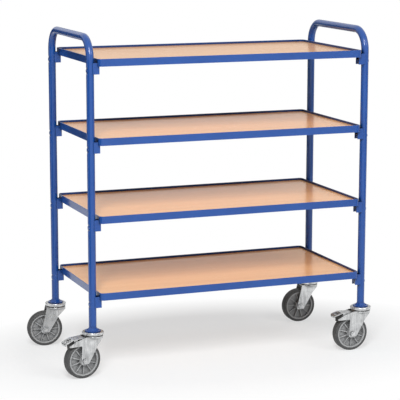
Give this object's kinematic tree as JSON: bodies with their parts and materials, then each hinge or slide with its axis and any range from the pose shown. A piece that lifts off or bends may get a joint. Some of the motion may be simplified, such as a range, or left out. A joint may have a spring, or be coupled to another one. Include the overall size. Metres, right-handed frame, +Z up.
{
  "type": "shelf trolley",
  "caption": "Shelf trolley: bent-tube push frames carry bolted angle-steel shelves with laminate boards, on swivel castors, the front ones with rocker brakes.",
  "frame": {"origin": "on the floor, in the middle between the four legs' axes", "axes": "+X along the shelves from the left push frame to the right one, +Y from the braked front castors to the back, +Z up"},
  "size_m": [1.1472, 0.5185, 1.15],
  "materials": {
    "blue_paint": "gloss powder coat",
    "beech_laminate": "satin beech-decor laminate",
    "zinc": "bright zinc plate",
    "dark_steel": "oiled steel",
    "tyre_rubber": "matt solid rubber",
    "rim_plastic": "moulded polyamide",
    "brake_rubber": "matt"
  },
  "bodies": {
    "frame": {"left_push_frame": "blue_paint", "right_push_frame": "blue_paint", "foot_flanges": "blue_paint", "tube_plugs": "dark_steel", "castor_bolts": "zinc", "bottom_shelf_frame": "blue_paint", "bottom_shelf_board": "beech_laminate", "bottom_shelf_saddles": "blue_paint", "lower_shelf_frame": "blue_paint", "lower_shelf_board": "beech_laminate", "lower_shelf_saddles": "blue_paint", "upper_shelf_frame": "blue_paint", "upper_shelf_board": "beech_laminate", "upper_shelf_saddles": "blue_paint", "top_shelf_frame": "blue_paint", "top_shelf_board": "beech_laminate", "top_shelf_saddles": "blue_paint", "shelf_bolts": "blue_paint", "shelf_washers": "zinc", "shelf_nuts": "dark_steel", "front_left_castor_head": "zinc", "front_right_castor_head": "zinc", "back_left_castor_head": "zinc", "back_right_castor_head": "zinc"},
    "front_left_castor": {"front_left_fork": "zinc", "front_left_bearing_balls": "dark_steel", "front_left_axle_bolt": "zinc", "front_left_axle_nut": "zinc", "front_left_brake_pin": "zinc"},
    "front_left_wheel": {"front_left_tyre": "tyre_rubber", "front_left_rim": "rim_plastic", "front_left_wheel_bearing": "dark_steel"},
    "front_left_pedal": {"front_left_brake_pedal": "zinc", "front_left_brake_shoe": "brake_rubber"},
    "front_right_castor": {"front_right_fork": "zinc", "front_right_bearing_balls": "dark_steel", "front_right_axle_bolt": "zinc", "front_right_axle_nut": "zinc", "front_right_brake_pin": "zinc"},
    "front_right_wheel": {"front_right_tyre": "tyre_rubber", "front_right_rim": "rim_plastic", "front_right_wheel_bearing": "dark_steel"},
    "front_right_pedal": {"front_right_brake_pedal": "zinc", "front_right_brake_shoe": "brake_rubber"},
    "back_left_castor": {"back_left_fork": "zinc", "back_left_bearing_balls": "dark_steel", "back_left_axle_bolt": "zinc", "back_left_axle_nut": "zinc"},
    "back_left_wheel": {"back_left_tyre": "tyre_rubber", "back_left_rim": "rim_plastic", "back_left_wheel_bearing": "dark_steel"},
    "back_right_castor": {"back_right_fork": "zinc", "back_right_bearing_balls": "dark_steel", "back_right_axle_bolt": "zinc", "back_right_axle_nut": "zinc"},
    "back_right_wheel": {"back_right_tyre": "tyre_rubber", "back_right_rim": "rim_plastic", "back_right_wheel_bearing": "dark_steel"}
  },
  "joints": [
    {"name": "front_left_swivel", "type": "hinge", "parent": "frame", "child": "front_left_castor", "pos_m": [-0.5, -0.2215, 0.156], "axis": [0, 0, 1], "continuous": true},
    {"name": "front_left_wheel_spin", "type": "hinge", "parent": "front_left_castor", "child": "front_left_wheel", "pos_m": [-0.54049, -0.22791, 0.0625], "axis": [-0.1564, 0.9877, 0], "continuous": true},
    {"name": "front_left_brake", "type": "hinge", "parent": "front_left_castor", "child": "front_left_pedal", "pos_m": [-0.57111, -0.23276, 0.12777], "axis": [0.1564, -0.9877, 0], "range_deg": [-6, 0]},
    {"name": "front_right_swivel", "type": "hinge", "parent": "frame", "child": "front_right_castor", "pos_m": [0.5, -0.2215, 0.156], "axis": [0, 0, 1], "continuous": true},
    {"name": "front_right_wheel_spin", "type": "hinge", "parent": "front_right_castor", "child": "front_right_wheel", "pos_m": [0.459, -0.2215, 0.0625], "axis": [0, 1, 0], "continuous": true},
    {"name": "front_right_brake", "type": "hinge", "parent": "front_right_castor", "child": "front_right_pedal", "pos_m": [0.428, -0.2215, 0.12777], "axis": [0, -1, 0], "range_deg": [0, 6]},
    {"name": "back_left_swivel", "type": "hinge", "parent": "frame", "child": "back_left_castor", "pos_m": [-0.5, 0.2215, 0.156], "axis": [0, 0, 1], "continuous": true},
    {"name": "back_left_wheel_spin", "type": "hinge", "parent": "back_left_castor", "child": "back_left_wheel", "pos_m": [-0.5406, 0.22721, 0.0625], "axis": [0.1392, 0.9903, 0], "continuous": true},
    {"name": "back_right_swivel", "type": "hinge", "parent": "frame", "child": "back_right_castor", "pos_m": [0.5, 0.2215, 0.156], "axis": [0, 0, 1], "continuous": true},
    {"name": "back_right_wheel_spin", "type": "hinge", "parent": "back_right_castor", "child": "back_right_wheel", "pos_m": [0.45903, 0.22293, 0.0625], "axis": [0.0349, 0.9994, 0], "continuous": true}
  ]
}
